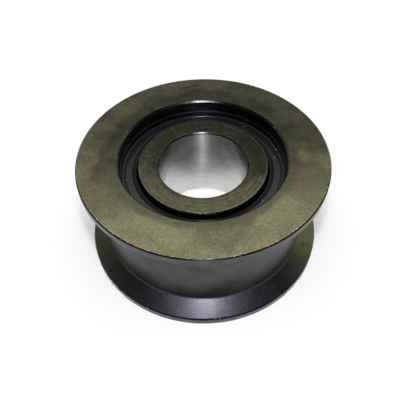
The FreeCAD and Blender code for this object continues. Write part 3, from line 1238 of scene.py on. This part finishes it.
@dataclass(frozen=True)
class Lamp:
    """A soft lamp that faces a point."""

    name: str
    place: tuple[float, float, float]
    size: tuple[float, float]
    radiance: float
    colour: str
    aim: tuple[float, float, float] = (0.0, 0.0, 0.0)
    shape: LampShape = LampShape.RECTANGLE

    def build(self) -> None:
        """Hang the lamp; its power is pi times its radiance times its area."""
        width, length = (side * MM for side in self.size)
        light = bpy.data.lights.new(self.name, "AREA")
        light.shape = self.shape.name
        light.size, light.size_y = width, length
        light.energy = math.pi * self.radiance * width * length * self.shape.value
        light.color = linear(self.colour)[:3]
        lamp = bpy.data.objects.new(self.name, light)
        lamp.location = Vector(self.place) * MM
        lamp.rotation_mode = "QUATERNION"
        lamp.rotation_quaternion = (Vector(self.aim) - Vector(self.place)).to_track_quat("-Z", "Y")
        lamp.visible_camera = False
        bpy.context.scene.collection.objects.link(lamp)


@dataclass(frozen=True)
class PaintedLightPool:
    """Oval pool of light painted on the ground: its middle, its reach, its even share and its brightness."""

    middle: float
    reach: tuple[float, float]
    even_share: float
    brightness: float

    def glow(self, paint: Paint) -> Socket:
        """Brightness of the painted pool of light.

        With u and v the distances from the middle across and along, each divided by its reach, it falls
        from the full brightness where the length of (u, v) is the even share, to zero where it is one.

        Args:
            paint: The ground's paint.

        Returns:
            The brightness.
        """
        across, along = self.reach
        shares = paint.add("Mapping", {
            "Vector": paint.place, "Location": (0, self.middle * MM, 0),
            "Scale": (across * MM, along * MM, 1),
        }, vector_type="TEXTURE")
        return paint.add("MapRange", {
            "Value": paint.axis_distance(shares), "From Min": self.even_share, "From Max": 1.0,
            "To Min": self.brightness, "To Max": 0.0,
        }, interpolation_type="SMOOTHSTEP")


@dataclass(frozen=True)
class Studio:
    """White sweep, a soft box overhead, dim panels behind and beside, and two small lamps in front."""

    sweep_gap: float = 0.02
    sweep_reach: float = 3200.0
    sweep_flat: float = 1100.0
    sweep_rise: float = 1500.0
    sweep_steps: int = 96
    white: str = "#f0f0ee"
    outer_glow: tuple[float, float] = (45.0, 86.0)
    bore_glow: tuple[float, float] = (34.0, 42.0)
    # Painted pools of light on the ground, which only the bore's wall mirrors
    painted_light_pools: tuple[PaintedLightPool, PaintedLightPool] = (
        PaintedLightPool(middle=14.5, reach=(16.0, 18.0), even_share=0.45, brightness=1.0),
        PaintedLightPool(middle=-4.0, reach=(14.0, 22.0), even_share=0.0, brightness=0.4),
    )
    room: str = "#5a5953"
    lamps: tuple[Lamp, ...] = (
        Lamp("overhead_box", (0, 295, 600), (660, 490), 1.15, "#fffdf4", (0, 295, 0)),
        Lamp("back_panel", (0, 1100, 700), (2200, 800), 0.23, "#ececff"),
        Lamp("left_panel", (-1000, 240, 460), (700, 400), 0.25, "#fff8cf"),
        Lamp("right_panel", (1000, 240, 460), (700, 400), 0.5, "#fffdcf"),
        Lamp("front_lamp", (0, -125, 205), (16, 16), 790.0, "#f6f6ff", shape=LampShape.ELLIPSE),
        Lamp("low_lamp", (0, -300, 190), (10, 10), 1700.0, "#f6f6ff", shape=LampShape.ELLIPSE),
    )

    def sweep(self) -> None:
        """White ground that curves up into a backdrop all round.

        On a square grid the height is the floor's, plus the rise times the square of the share of the way
        from the flat part's edge to the reach, so that there is no horizon line.
        """
        floor = CAD_BOX[0].z / MM - self.sweep_gap
        line = np.linspace(-self.sweep_reach, self.sweep_reach, self.sweep_steps)
        x, y = np.meshgrid(line, line, indexing="ij")
        way = np.clip((np.hypot(x, y) - self.sweep_flat) / (self.sweep_reach - self.sweep_flat), 0, None)
        points = np.stack([x, y, floor + self.sweep_rise * way ** 2], axis=-1).reshape(-1, 3) * MM
        here = np.arange(self.sweep_steps ** 2).reshape(self.sweep_steps, self.sweep_steps)
        quads = np.stack([here[:-1, :-1], here[1:, :-1], here[1:, 1:], here[:-1, 1:]], axis=-1)
        mesh = bpy.data.meshes.new("white_sweep")
        mesh.from_pydata(points, [], quads.reshape(-1, 4).tolist())
        mesh.shade_smooth()
        mesh.materials.append(self.sweep_paint())
        sweep = bpy.data.objects.new("white_sweep", mesh)
        bpy.context.scene.collection.objects.link(sweep)

    def sweep_paint(self) -> bpy.types.Material:
        """Matt white paint: it takes the shadow near the pulley, and glows white where it is seen beyond.

        What shows of it through the bore is white too, so that the bore ends against the same white. For the
        bore's wall to mirror, the ground there is painted with light and shade instead: a painted pool of
        light where the front lamp reaches it through the bore, a dimmer one in front of it for the light
        that the wall itself throws there, and painted shadow around them.

        Returns:
            The material.
        """
        paint = Paint("MattWhiteSweep")
        out = paint.add("VectorMath", {0: paint.place}, "Value", operation="LENGTH")
        start, full = (radius * MM for radius in self.outer_glow)
        outside = paint.add("MapRange", {
            "Value": out, "From Min": start, "From Max": full,
        }, interpolation_type="SMOOTHSTEP")
        full, end = (radius * MM for radius in self.bore_glow)
        inside = paint.add("MapRange", {
            "Value": out, "From Min": full, "From Max": end, "To Min": 1.0, "To Max": 0.0,
        })
        path = paint.add("LightPath").node.outputs
        seen = paint.add("Math", {0: path["Is Camera Ray"], 1: path["Is Glossy Ray"]})
        shown = paint.add("Math", {0: seen, 1: path["Is Transmission Ray"]}, use_clamp=True)
        glows = paint.add("Math", {0: outside, 1: inside}, operation="MAXIMUM")
        # Painted light and shade on the ground, seen only in the bore's mirror
        first, second = (spot.glow(paint) for spot in self.painted_light_pools)
        painted_light = paint.add("Math", {0: first, 1: second}, operation="MAXIMUM")
        mirrored = paint.add("Math", {0: path["Is Glossy Ray"], 1: inside}, operation="MULTIPLY")
        strength = paint.add("Mix", {"Factor": mirrored, "A": 1.0, "B": painted_light})
        return paint.finished(paint.add("MixShader", {
            0: paint.add("Math", {0: shown, 1: glows}, operation="MULTIPLY"),
            1: paint.add("BsdfDiffuse", {"Color": linear(self.white)}),
            2: paint.add("Emission", {"Strength": strength}),
        }))

    def room_light(self) -> None:
        """Dim even light from the room above the sweep."""
        world = bpy.data.worlds.new("room")
        world.use_nodes = True
        world.node_tree.nodes["Background"].inputs["Color"].default_value = linear(self.room)
        bpy.context.scene.world = world

    def build(self) -> None:
        """Set up the ground, the room's light and the lamps."""
        bpy.context.scene.view_settings.view_transform = "Standard"
        self.sweep()
        self.room_light()
        for lamp in self.lamps:
            lamp.build()


@dataclass(frozen=True)
class PhotoCamera:
    """Camera close above the pulley's front, looking down on its upper face."""

    elevation_deg: float = 49.31
    roll_deg: float = -1.59
    distance: float = 210.8
    aside: float = 1.17
    above: float = 19.95
    focal_px: float = 485.9
    image_px: float = 400.0
    sensor: float = 36.0
    clip: tuple[float, float] = (5.0, 20000.0)

    def build(self) -> None:
        """Place the camera by where the middle of the upper face lies in its view: aside, above, ahead."""
        tilt, roll = math.radians(self.elevation_deg), math.radians(self.roll_deg)
        level = Vector((1, 0, 0))
        ahead = Vector((0, math.cos(tilt), -math.sin(tilt)))
        upright = Vector((0, math.sin(tilt), math.cos(tilt)))
        right = math.cos(roll) * level + math.sin(roll) * upright
        up = math.cos(roll) * upright - math.sin(roll) * level
        face = Vector((0, 0, FACE_TOP))
        place = face - self.aside * right - self.above * up - self.distance * ahead
        data = bpy.data.cameras.new("photo_camera")
        data.sensor_width = self.sensor
        data.lens = self.focal_px / self.image_px * self.sensor
        data.clip_start, data.clip_end = (distance * MM for distance in self.clip)
        camera = bpy.data.objects.new("photo_camera", data)
        turn = Matrix((right, up, -ahead)).transposed().to_4x4()
        camera.matrix_world = Matrix.Translation(place * MM) @ turn
        bpy.context.scene.collection.objects.link(camera)
        bpy.context.scene.camera = camera


def main() -> None:
    """Build every sub-assembly and the studio, and report each piece with its number of faces."""
    logging.basicConfig(level=logging.INFO, format="%(message)s")
    seals = [Seal(side) for side in Side]
    rows = [BallRow(side) for side in Side]
    for assembly in [PulleyRing(), InnerRing(), *seals, *rows]:
        for piece in assembly.build():
            log.info("%s: %d faces", piece.name, len(piece.data.polygons))
    Studio().build()
    PhotoCamera().build()


if __name__ == "__main__":
    main()
